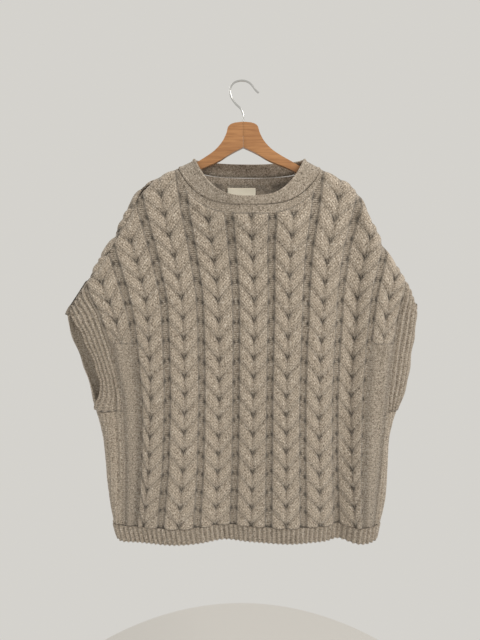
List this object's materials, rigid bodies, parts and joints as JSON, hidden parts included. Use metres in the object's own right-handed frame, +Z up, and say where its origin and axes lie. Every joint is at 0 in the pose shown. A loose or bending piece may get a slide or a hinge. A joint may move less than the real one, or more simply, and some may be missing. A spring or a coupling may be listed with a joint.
{
  "type": "sleeveless knitted poncho on a wooden clothes hanger",
  "caption": "Wide cable-knit poncho with a rolled boat neck, ribbed armholes and ribbed hem, hung open on a wooden hanger with a wire hook.",
  "frame": {"origin": "inside top of the hanger's hook, where a rail or peg carries it", "axes": "+Z up, +X to the right of someone looking at the front, the front faces -Y"},
  "size_m": [0.7082, 0.0835, 0.9343],
  "materials": {
    "knit": "heathered oatmeal wool, matt and slightly hairy",
    "label": "blank cream woven tape",
    "wood": "satin varnished orange-brown hardwood",
    "hook_wire": "bright plated steel wire"
  },
  "bodies": {
    "root": {"front_panel": "knit", "back_panel": "knit", "front_hem_rib": "knit", "back_hem_rib": "knit", "armhole_band_left": "knit", "armhole_band_right": "knit", "neckband": "knit", "neck_label": "label", "hanger_arm_left": "wood", "hanger_arm_right": "wood", "hanger_hook": "hook_wire"}
  },
  "joints": []
}
